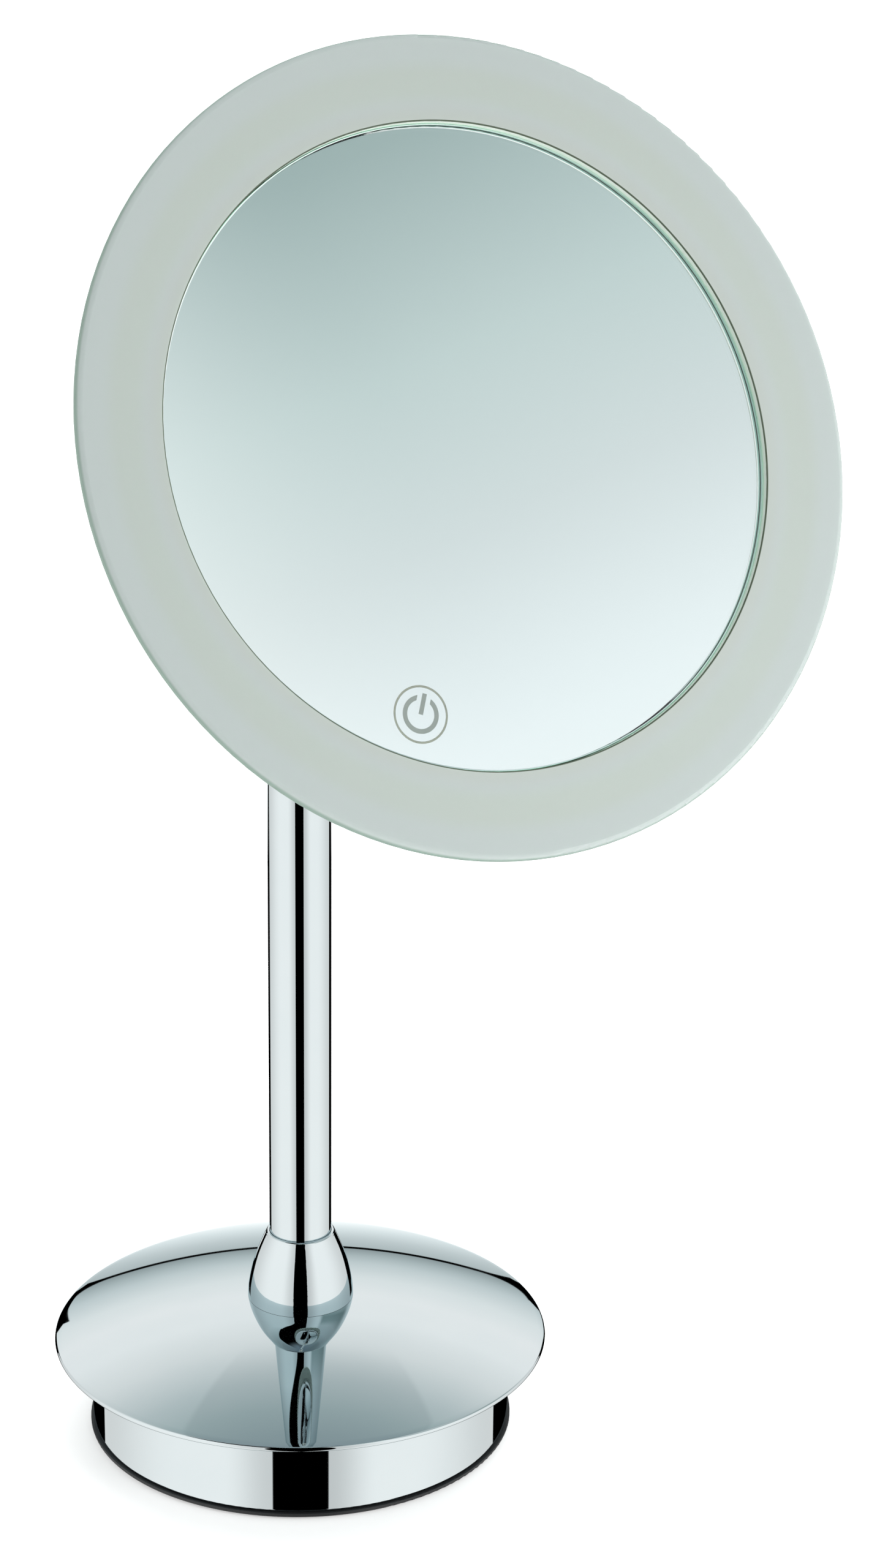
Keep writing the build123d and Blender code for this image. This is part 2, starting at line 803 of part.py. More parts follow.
with BuildPart() as socket_housing:
    with BuildSketch(head_section):
        with BuildLine():
            Polyline(
                (lead_passage, hub_depth + gap),
                (flange_radius, hub_depth + gap),
                (flange_radius, hub_depth + flange_thickness - 1.0),
                (flange_radius - 1.0, hub_depth + flange_thickness),
                (housing_radius, hub_depth + flange_thickness),
                (housing_radius, barrel_end),
                (spigot_wall_radius, barrel_end),
                (spigot_wall_radius, housing_end),
                (0.0, housing_end),
                (0.0, 40.0),
                (cup_radius + 2 * gap, cup_back),
                (cup_radius + 2 * gap, housing_floor),
                (lead_passage, housing_floor),
                close=True,
            )
        make_face()
    revolve(axis=head_axis)
    with Locations(ball_centre):
        Sphere(cavity_radius, mode=Mode.SUBTRACT)
    with BuildSketch(head_level(hub_depth + flange_thickness)):
        with PolarLocations(housing_screw_circle, housing_screw_count, start_angle=housing_screw_start):
            Circle(housing_screw_hole)
    extrude(amount=flange_thickness, mode=Mode.SUBTRACT)
save(socket_housing, "socket_housing")

ring_end = 53.0
ring_chamfer = 0.8
flute_count = 30
flute_radius = 0.6

with BuildPart() as clamp_ring:
    with BuildSketch(head_section):
        with BuildLine():
            cone_edge = on_sphere(cavity_radius, ring_opening)
            rear_edge = ((ring_end - ball_depth) * tan(radians(ring_opening)), ring_end)
            start_angle = 90 - degrees(asin((housing_end + gap - ball_depth) / cavity_radius))
            ThreePointArc(
                cone_edge,
                on_sphere(cavity_radius, (ring_opening + start_angle) / 2),
                on_sphere(cavity_radius, start_angle),
            )
            Polyline(
                on_sphere(cavity_radius, start_angle),
                (spigot_wall_radius + gap, housing_end + gap),
                (spigot_wall_radius + gap, barrel_end + gap),
                (housing_radius, barrel_end + gap),
                (housing_radius, ring_end - ring_chamfer),
                (housing_radius - ring_chamfer, ring_end),
                rear_edge,
                cone_edge,
            )
        make_face()
    revolve(axis=head_axis)
    with BuildSketch(head_level(ring_end - 2.0)):
        with PolarLocations(housing_radius + flute_radius / 2.4, flute_count):
            Circle(flute_radius)
    extrude(amount=ring_end - barrel_end - 4.0, mode=Mode.SUBTRACT)
save(clamp_ring, "clamp_ring")

boss_end = hub_depth - shell_sheet

with BuildPart(head_level(hub_depth + flange_thickness)) as housing_screws:
    screw = pan_screw(housing_screw_head, housing_screw_rise, housing_screw_radius, housing_screw_length)
    with PolarLocations(housing_screw_circle, housing_screw_count, start_angle=housing_screw_start):
        add(screw)
save(housing_screws, "housing_screws")

# ------------------------------------------------------------------ head
shell_front = 3.05
shell_flat = 30.0  # radius of the flat middle the ball housing is screwed to
shell_pad_depth = 19.1
shell_pad_radius = 3.6
shell_lining = shell_wall_radius - shell_sheet

with BuildPart() as rear_shell:
    with BuildSketch(head_section):
        with BuildLine():
            skin_dome = TangentArc((shell_flat, hub_depth), (79.0, 17.1), tangent=(1, 0))
            skin_corner = TangentArc(skin_dome @ 1, (shell_wall_radius, 9.38), tangent=skin_dome % 1)
            lining_dome = TangentArc((shell_flat, boss_end), (78.83, 16.115), tangent=(1, 0))
            lining_corner = TangentArc(lining_dome @ 1, (shell_lining, 9.38), tangent=lining_dome % 1)
            Polyline(
                skin_corner @ 1,
                (shell_wall_radius, shell_front),
                (shell_lining, shell_front),
                lining_corner @ 1,
            )
            Polyline(lining_dome @ 0, (3.5, boss_end), (3.5, hub_depth), skin_dome @ 0)
        make_face()
    revolve(axis=head_axis)
    with BuildSketch(head_level(hub_depth)):
        with PolarLocations(housing_screw_circle, housing_screw_count, start_angle=housing_screw_start):
            Circle(housing_screw_hole)
    extrude(amount=shell_sheet, mode=Mode.SUBTRACT)
    with BuildSketch(head_level(shell_pad_depth)):
        with PolarLocations(shell_screw_circle, shell_screw_count):
            Circle(shell_pad_radius)
    extrude(amount=1.5 * shell_sheet)
    with BuildSketch(head_level(shell_pad_depth)):
        with PolarLocations(shell_screw_circle, shell_screw_count):
            Circle(shell_screw_radius + gap)
    extrude(amount=3 * shell_sheet, mode=Mode.SUBTRACT)
save(rear_shell, "rear_shell")

with BuildPart(head_level(shell_pad_depth)) as shell_screws:
    small_screw = pan_screw(shell_screw_head, shell_screw_rise, shell_screw_radius, shell_screw_length)
    with PolarLocations(shell_screw_circle, shell_screw_count):
        add(small_screw)
save(shell_screws, "shell_screws")

with BuildPart() as diffuser_ring:
    ring_thickness = 3.0
    with BuildSketch(head_section):
        with BuildLine():
            outer_round = ThreePointArc((101.0, 0.02), (102.1, 0.42), (head_radius, 1.4))
            lip_round = ThreePointArc(
                (lip_radius, lip_depth + 0.3),
                (80.79, lip_depth + 0.09),
                (81.0, lip_depth),
            )
            Line(lip_round @ 1, outer_round @ 0)
            Polyline(
                outer_round @ 1,
                (head_radius, 2.3),
                (101.8, ring_thickness),
                (ring_collar_radius, ring_thickness),
                (ring_collar_radius, ring_collar_depth),
                (lip_radius, ring_collar_depth),
                lip_round @ 0,
            )
        make_face()
    revolve(axis=head_axis)
save(diffuser_ring, "diffuser_ring")

glass_back = glass_depth + glass_thickness
glass_chamfer = 0.3
silver_back = glass_back + silver_gap + silver_thickness
carrier_front = 6.6
carrier_back = 9.3
carrier_radius = 77.95

with BuildPart() as mirror_glass:
    with BuildSketch(head_level(glass_back)):
        Circle(glass_radius)
    extrude(amount=glass_thickness)
    chamfer(mirror_glass.edges(), length=glass_chamfer)
save(mirror_glass, "mirror_glass")

symbol_outer = 7.1
symbol_line = 0.5
symbol_inner = 4.7
symbol_stroke = 1.13
symbol_gap = 3.6
symbol_bar = 5.2
symbol_bar_drop = 2.1


def symbol_marks(margin):
    """The touch symbol about the origin, every line widened by a margin on each side."""
    with BuildSketch() as marks:
        Circle(symbol_outer + margin)
        Circle(symbol_outer - symbol_line - margin, mode=Mode.SUBTRACT)
        Circle(symbol_inner + margin)
        Circle(symbol_inner - symbol_stroke - margin, mode=Mode.SUBTRACT)
        with Locations((0, symbol_inner)):
            Rectangle(symbol_gap - 2 * margin, 2 * symbol_stroke + 1, mode=Mode.SUBTRACT)
        with Locations((0, symbol_inner - symbol_bar_drop)):
            Rectangle(symbol_stroke + 2 * margin, symbol_bar + 2 * margin)
    return marks.sketch


symbol_window = symbol_marks(silver_gap)
symbol_shape = symbol_marks(0)

with BuildPart() as silver_coating:
    with BuildSketch(head_level(silver_back)):
        Circle(glass_radius - silver_inset)
        with Locations((0, -symbol_circle)):
            add(symbol_window, mode=Mode.SUBTRACT)
    extrude(amount=silver_thickness)
save(silver_coating, "silver_coating")

with BuildPart() as touch_symbol:
    with BuildSketch(head_level(silver_back)):
        with Locations((0, -symbol_circle)):
            add(symbol_shape)
    extrude(amount=silver_thickness)
save(touch_symbol, "touch_symbol")

pad_back = carrier_front - gap
pad_front = silver_back
pad_outer = 56.0
pad_inner = 28.0
sensor_radius = 8.8

with BuildPart() as adhesive_pad:
    with BuildSketch(head_level(pad_back)):
        Circle(pad_outer)
        Circle(pad_inner, mode=Mode.SUBTRACT)
    extrude(amount=pad_back - pad_front)
save(adhesive_pad, "adhesive_pad")

with BuildPart() as touch_sensor_board:
    with BuildSketch(head_level(pad_back)):
        with Locations((0, -symbol_circle)):
            Circle(sensor_radius)
    extrude(amount=pad_back - pad_front)
save(touch_sensor_board, "touch_sensor_board")

carrier_bore = 10.0
flange_front = ring_collar_depth + gap
flange_back = flange_front + 1.2
flange_inner = 74.0
carrier_boss_radius = 4.0
edge_boss_radius = 3.0
edge_boss_end = 17.0
rib_circle = 50.0
rib_count = 8
rib_start = 22.5
rib_length = 44.0
rib_height = 2.2
rib_thickness = 1.6

with BuildPart() as mirror_carrier:
    with BuildSketch(head_section):
        with BuildLine():
            Polyline(
                (carrier_bore, carrier_front),
                (carrier_radius, carrier_front),
                (carrier_radius, flange_front),
                (ring_collar_radius, flange_front),
                (ring_collar_radius, flange_back),
                (flange_inner, flange_back),
                (flange_inner, carrier_back),
                (carrier_bore, carrier_back),
                close=True,
            )
        make_face()
    revolve(axis=head_axis)
    with BuildSketch(head_level(boss_end)):
        with PolarLocations(housing_screw_circle, housing_screw_count, start_angle=housing_screw_start):
            Circle(carrier_boss_radius)
    extrude(amount=boss_end - carrier_back)
    with BuildSketch(head_level(edge_boss_end)):
        with PolarLocations(shell_screw_circle, shell_screw_count):
            Circle(edge_boss_radius)
    extrude(amount=edge_boss_end - carrier_back)
    with BuildSketch(head_level(carrier_back + rib_height)):
        with PolarLocations(rib_circle, rib_count, start_angle=rib_start):
            Rectangle(rib_length, rib_thickness)
    extrude(amount=rib_height)
    with BuildSketch(head_level(boss_end)):
        with PolarLocations(housing_screw_circle, housing_screw_count, start_angle=housing_screw_start):
            Circle(housing_screw_radius + thread_gap)
        with PolarLocations(shell_screw_circle, shell_screw_count):
            Circle(shell_screw_radius + thread_gap)
    extrude(amount=boss_end - carrier_front, mode=Mode.SUBTRACT)
save(mirror_carrier, "mirror_carrier")

led_size = (2.8, 3.5)
led_height = 0.9
strip_inner = 78.0
strip_outer = 78.8
strip_front = 6.2

with BuildPart() as led_board:
    with BuildSketch(head_level(ring_collar_depth)):
        Circle(strip_outer)
        Circle(strip_inner, mode=Mode.SUBTRACT)
    extrude(amount=ring_collar_depth - strip_front)
save(led_board, "led_board")

with BuildPart() as led_chips:
    led_middle = (strip_front + ring_collar_depth) / 2
    with BuildSketch(head_level(led_middle + led_size[0] / 2)):
        with PolarLocations(strip_outer + led_height / 2, led_count):
            Rectangle(led_height, led_size[1])
        Circle(strip_outer, mode=Mode.SUBTRACT)
    extrude(amount=led_size[0])
save(led_chips, "led_chips")

with BuildPart() as reflector_ring:
    with BuildSketch(head_level(ring_collar_depth)):
        Circle(shell_lining - gap)
        Circle(ring_collar_radius + gap, mode=Mode.SUBTRACT)
    extrude(amount=ring_collar_depth - shell_front)
save(reflector_ring, "reflector_ring")

board_lift = carrier_back + 2.25

board_sheet = 1.6
board_size = (34.0, 20.0)
chip_height = 2.0
plug_height = 1.6

with BuildPart() as driver_board:
    with BuildSketch(head_level(board_lift + board_sheet)):
        with Locations((0, 46)):
            Rectangle(*board_size)
    extrude(amount=board_sheet)
    with BuildSketch(head_level(board_lift + board_sheet + chip_height)):
        with Locations((-9, 48)):
            Rectangle(7, 7)
        with Locations((3, 50)):
            Rectangle(5, 6)
        with Locations((11, 46)):
            Circle(2.4)
    extrude(amount=chip_height)
    with BuildSketch(head_level(board_lift + board_sheet + plug_height)):
        with Locations((0, 39)):
            Rectangle(8, 4)
    extrude(amount=plug_height)
save(driver_board, "driver_board")

with BuildPart() as head_lead:
    lead_depth = board_lift + 4.0
    lead_bend = 4.0
    lead_run = 36.0
    lead_start = face_centre - forward * (ball_depth - seat_outer - 0.7)
    lead_up = rolled_right.cross(forward) * -1
    corner = face_centre - forward * (lead_depth + lead_bend)
    level = face_centre - forward * lead_depth + lead_up * lead_bend
    with BuildLine() as head_route:
        inward = Line(lead_start, corner)
        sideways = TangentArc(inward @ 1, level, tangent=forward)
        Line(sideways @ 1, face_centre - forward * lead_depth + lead_up * lead_run)
    with BuildSketch(Plane(origin=lead_start, z_dir=forward)):
        Circle(lead_radius)
    sweep(path=head_route.line)
save(head_lead, "head_lead")
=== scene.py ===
"""Looks of the lighted vanity mirror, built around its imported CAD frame. Everything is in metres."""

import json
import math

import bpy
from mathutils import Matrix, Vector


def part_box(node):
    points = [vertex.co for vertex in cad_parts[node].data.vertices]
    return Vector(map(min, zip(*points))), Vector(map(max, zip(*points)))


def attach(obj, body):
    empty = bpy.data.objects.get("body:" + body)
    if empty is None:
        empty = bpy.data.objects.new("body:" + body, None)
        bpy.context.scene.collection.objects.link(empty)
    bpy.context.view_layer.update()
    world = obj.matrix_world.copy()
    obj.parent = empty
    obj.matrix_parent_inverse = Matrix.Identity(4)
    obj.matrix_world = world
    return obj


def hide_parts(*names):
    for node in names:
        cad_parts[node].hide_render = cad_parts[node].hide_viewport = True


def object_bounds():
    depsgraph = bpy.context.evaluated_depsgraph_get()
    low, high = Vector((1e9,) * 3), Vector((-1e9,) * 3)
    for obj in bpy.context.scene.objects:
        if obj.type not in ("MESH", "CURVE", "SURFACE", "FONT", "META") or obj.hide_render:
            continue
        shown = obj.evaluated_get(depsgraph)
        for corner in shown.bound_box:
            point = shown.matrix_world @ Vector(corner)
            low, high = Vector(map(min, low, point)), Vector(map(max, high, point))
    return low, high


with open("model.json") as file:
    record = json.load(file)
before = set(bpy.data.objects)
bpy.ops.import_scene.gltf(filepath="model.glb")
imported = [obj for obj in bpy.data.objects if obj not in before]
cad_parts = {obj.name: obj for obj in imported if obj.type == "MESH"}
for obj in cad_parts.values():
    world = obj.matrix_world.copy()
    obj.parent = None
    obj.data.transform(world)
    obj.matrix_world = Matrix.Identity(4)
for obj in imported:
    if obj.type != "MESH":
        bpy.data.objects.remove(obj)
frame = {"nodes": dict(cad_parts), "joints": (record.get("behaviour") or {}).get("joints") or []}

MM = 0.001
scene = bpy.context.scene
cad_low, cad_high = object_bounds()

# ---------------------------------------------------------------- camera and studio
VIEW_AZIMUTH = -27.07  # degrees, from looking along +Y
VIEW_ELEVATION = 18.44
VIEW_ROLL = 0.64
VIEW_DISTANCE = 0.9613
LENS = 79.03
AIM_RIGHT, AIM_AHEAD, AIM_UP = 0.0224, 0.0342, -0.0072  # from the middle of the object

FLOOR_RADIUS = 14.0
FLOOR_COLOUR = (0.93, 0.925, 0.92, 1.0)
BACKDROP_COLOUR = (0.99, 0.99, 0.99, 1.0)

# The studio as the chrome sees it, in degrees. Azimuths run to the right, from straight behind the object
# for the table, the back panel and the cards, and from the camera for the gap and the softboxes' blend.
BLACK = (0, 0, 0)
EDGE = 0.8  # how soft the panels' edges are
GAP_LEFT, GAP_RIGHT = -13.0, 17.5  # dark gap between the two front softboxes
GAP_TOP, GAP_TOP_SOFT = 80.0, 8.0
GAP_SPREAD = (44.0, 64.0, 75.0)  # between these elevations the gap opens this much further left
LEFT_TO_RIGHT = (46.0, 58.0)  # where the left softbox's light gives way to the right one's
SIDE_START = 43.0  # where the softboxes begin, either side of straight behind
SIDE_SOFT = 30.0  # how softly they begin above the cards
SIDE_FADE = (70.0, 0.74)  # they are this dim at their rear edge, and full this much further round
FRONT_FADE = 28.0  # they dim over this much beside the gap
FRONT_DIM_LEFT, FRONT_DIM_RIGHT = 0.72, 0.66
CARD_START, CARD_OVERLAP = 27.0, 4.0  # black cards stand between the table and the softboxes
CARD_TOP, CARD_FADE, CARD_BLEND = 19.0, 3.0, 12.0
SEAM_LOW, SEAM_HIGH = 7.8, 8.8  # dark seam between the table sweep and the back panel
SEAM_SOFT = 0.15
SEAM_LEFT, SEAM_RIGHT = -14.5, 9.0  # it widens as the square of the distance past these azimuths
TABLE_DROP_LEFT, TABLE_DROP_RIGHT = -0.15, -0.40
PANEL_LIFT_LEFT, PANEL_LIFT_RIGHT = 0.22, 0.19
PANEL_MOST_RIGHT = 4.6  # the most that the back panel lifts on the right
WEDGE_WIDTH, WEDGE_TAPER, WEDGE_SOFT = 0.42, 0.21, 0.012  # ceiling seen between the overhead panels
WEDGE_START, WEDGE_FULL, WEDGE_SHARE = 40.0, 50.0, 0.16
WEDGE_COLOUR = (0.12, 0.17, 0.19)
SECOND_BOUNCE = (0.60, 0.70, 0.73, 1.0)  # how much of the studio chrome sees by way of other chrome

OVERHEAD_AZIMUTH, OVERHEAD_ELEVATION = 20.0, 68.0
OVERHEAD_SIZE = 60.0
OVERHEAD_STRENGTH = 1.9
FLOOR_GLOW = 0.5  # the floor is a lit sweep, so shadows stay faint
FLOOR_DROP = 0.2 * MM  # below the foot, so that the two faces never coincide
FRONT_LAMP_PLACE = (0.38, -0.25, -0.04)  # from the head: right, ahead and up, as the camera sees them
FRONT_LAMP_SIZE = 0.25
FRONT_LAMP_POWER = 1.0

# The frosted ring and the mirror, in millimetres: radii from the head's axis, depths behind the front rim.
RING_WARM_BAND = (86.0, 94.5, 5.0)
RING_EDGE_START, RING_EDGE_FULL = 101.9, 102.45
RING_LIP_START, RING_LIP_FULL = 86.0, 81.0
RING_CORNER_START, RING_CORNER_FULL = 81.05, 80.98
RING_WALL_START, RING_WALL_FULL = 80.85, 80.75
RING_CORNER_DEPTH = (1.78, 1.82)
RING_BACK_DEPTH = (2.4, 2.9)
RING_BACK_RADIUS = (83.8, 84.0)
GLASS_EDGE_RADIUS = (80.3, 80.4)
LED_WINDOW_RADIUS = (79.5, 79.6)
LED_WINDOW_DEPTH = (6.8, 8.6, 0.2)
SYMBOL_RING_START = (5.5 * MM, 5.7 * MM)  # from the symbol's own centre

RING_COOL = (0.426, 0.463, 0.453)
# painted shade: a soft band across the ring's face, a shade darker and warmer than the rest
RING_WARM_SHADE = (0.417, 0.453, 0.421)
# the acrylic's green edge, darkened along the rim with painted shade
RING_EDGE_GREEN_AND_SHADE = (0.24, 0.31, 0.27)
RING_LIP = (0.423, 0.453, 0.425)
# painted light: the lip's inner wall is coloured about twice as pale as the acrylic's face
RING_WALL_LIGHT = (0.80, 0.87, 0.78)
RING_CORNER_SHADE = (0.07, 0.09, 0.06)  # painted shade: a dark line along the polished corner of the lip
# painted shade: the ring's back is coloured darker than the acrylic
RING_BACK_SHADE = (0.17, 0.215, 0.20)
GLASS_EDGE = (0.50, 0.76, 0.66)
GLASS_EDGE_PAINTED_GLOW = (0.16, 0.27, 0.23)  # painted glow: the glass's edge gives out light of its own
SYMBOL_LOW = (0.88, 0.96, 0.87)
SYMBOL_HIGH = (0.94, 0.99, 0.92)
SYMBOL_RING = (0.99, 1.0, 0.80)

# brightness of the panels by elevation
RIGHT_LIGHT = (
    (-90.0, (1.06, 1.09, 1.08)),
    (20.0, (1.10, 1.13, 1.13)),
    (27.0, (0.92, 0.98, 1.00)),
    (30.0, (0.73, 0.79, 0.80)),
    (33.0, (0.60, 0.70, 0.695)),
    (37.0, (0.37, 0.47, 0.465)),
    (44.0, (0.42, 0.52, 0.52)),
    (51.0, (0.68, 0.76, 0.77)),
    (60.0, (0.60, 0.68, 0.70)),
    (70.0, (0.36, 0.44, 0.46)),
    (90.0, (0.22, 0.28, 0.34)),
)
LEFT_LIGHT = (
    (-90.0, (1.06, 1.09, 1.08)),
    (20.0, (1.10, 1.13, 1.13)),
    (52.0, (1.02, 1.08, 1.08)),
    (62.0, (0.62, 0.70, 0.71)),
    (90.0, (0.22, 0.28, 0.34)),
)
TABLE_LIGHT = (
    (-90.0, (0.0, 0.0, 0.0)),
    (-19.5, (0.0, 0.0, 0.0)),
    (-18.5, (1.20, 1.24, 1.24)),
    (-9.0, (1.12, 1.17, 1.17)),
    (-3.0, (0.86, 0.94, 0.95)),
    (3.0, (0.66, 0.73, 0.74)),
    (8.5, (0.52, 0.59, 0.60)),
    (90.0, (0.52, 0.59, 0.60)),
)
REAR_LIGHT = (
    (-90.0, (0.32, 0.38, 0.39)),
    (8.5, (0.32, 0.38, 0.39)),
    (12.0, (0.52, 0.60, 0.61)),
    (15.0, (0.68, 0.76, 0.77)),
    (21.0, (0.91, 0.96, 0.96)),
    (27.0, (1.02, 1.04, 1.04)),
    (34.0, (1.00, 1.03, 1.03)),
    (42.0, (0.85, 0.89, 0.89)),
    (51.0, (0.57, 0.65, 0.66)),
    (57.0, (0.43, 0.53, 0.54)),
    (63.0, (0.34, 0.43, 0.45)),
    (90.0, (0.22, 0.28, 0.34)),
)


def turned(azimuth):
    """The studio's right and ahead directions as the camera sees them."""
    angle = math.radians(azimuth)
    right = Vector((math.cos(angle), math.sin(angle), 0))
    ahead = Vector((-math.sin(angle), math.cos(angle), 0))
    return right, ahead


STUDIO_RIGHT, STUDIO_AHEAD = turned(VIEW_AZIMUTH)


def add_camera():
    data = bpy.data.cameras.new("camera")
    data.lens = LENS
    data.clip_start = 0.01
    data.clip_end = 100.0
    camera = bpy.data.objects.new("camera", data)
    scene.collection.objects.link(camera)
    aim = (cad_low + cad_high) / 2 + AIM_RIGHT * STUDIO_RIGHT + AIM_AHEAD * STUDIO_AHEAD
    aim.z += AIM_UP
    slope = math.radians(VIEW_ELEVATION)
    forward = math.cos(slope) * STUDIO_AHEAD - math.sin(slope) * Vector((0, 0, 1))
    camera.location = aim - VIEW_DISTANCE * forward
    turn = forward.to_track_quat("-Z", "Y").to_matrix().to_4x4()
    camera.matrix_world = (
        Matrix.Translation(camera.location) @ turn @ Matrix.Rotation(math.radians(VIEW_ROLL), 4, "Z")
    )
    scene.camera = camera


class Graph:
    """Short calls for the shader nodes that the materials and the studio share."""

    def __init__(self, tree):
        self.tree = tree

    def node(self, kind, **settings):
        made = self.tree.nodes.new(kind)
        for name, value in settings.items():
            setattr(made, name, value)
        return made

    def feed(self, socket, value):
        if isinstance(value, bpy.types.NodeSocket):
            self.tree.links.new(value, socket)
        else:
            socket.default_value = value

    def maths(self, operation, *values):
        made = self.node("ShaderNodeMath", operation=operation)
        for socket, value in zip(made.inputs, values):
            self.feed(socket, value)
        return made.outputs[0]

    def vector(self, operation, *values, out=0):
        made = self.node("ShaderNodeVectorMath", operation=operation)
        for socket, value in zip(made.inputs, values):
            self.feed(socket, value)
        return made.outputs[out]

    def dot(self, first, second):
        return self.vector("DOT_PRODUCT", first, second, out="Value")

    def span(self, value, start, end, low=0.0, high=1.0, smooth=True):
        """Goes from low to high as value goes from start to end."""
        made = self.node("ShaderNodeMapRange")
        made.interpolation_type = "SMOOTHSTEP" if smooth else "LINEAR"
        for socket, number in zip(made.inputs, (value, start, end, low, high)):
            self.feed(socket, number)
        return made.outputs[0]

    def inside(self, value, start, end, soft):
        """1 between start and end, 0 outside, over a soft edge."""
        rise = self.span(value, start - soft / 2, start + soft / 2)
        fall = self.span(value, end - soft / 2, end + soft / 2, 1.0, 0.0)
        return self.maths("MULTIPLY", rise, fall)

    def ramp(self, value, start, end, stops):
        """A colour ramp whose stops are (value, colour) pairs between start and end."""
        made = self.node("ShaderNodeValToRGB")
        elements = made.color_ramp.elements
        while len(elements) > 1:
            elements.remove(elements[0])
        for index, (place, colour) in enumerate(stops):
            position = (place - start) / (end - start)
            stop = elements[0] if index == 0 else elements.new(position)
            stop.position = position
            stop.color = (*colour[:3], 1.0)
        self.feed(made.inputs["Fac"], self.span(value, start, end, smooth=False))
        return made.outputs["Color"]

    def mix(self, factor, first, second, blend="MIX"):
        made = self.node("ShaderNodeMix", data_type="RGBA", blend_type=blend)
        self.feed(made.inputs["Factor"], factor)
        for socket, colour in ((made.inputs[6], first), (made.inputs[7], second)):
            if not isinstance(colour, bpy.types.NodeSocket):
                colour = (*colour[:3], 1.0)
            self.feed(socket, colour)
        return made.outputs[2]

    def place(self):
        """Where a point is on the part at rest. It moves with the part."""
        return self.node("ShaderNodeTexCoord").outputs["Object"]

    def noise(self, scale, detail=2.0, roughness=0.5, place=None):
        made = self.node("ShaderNodeTexNoise")
        self.feed(made.inputs["Vector"], place or self.place())
        self.feed(made.inputs["Scale"], scale)
        self.feed(made.inputs["Detail"], detail)
        self.feed(made.inputs["Roughness"], roughness)
        return made.outputs["Fac"]


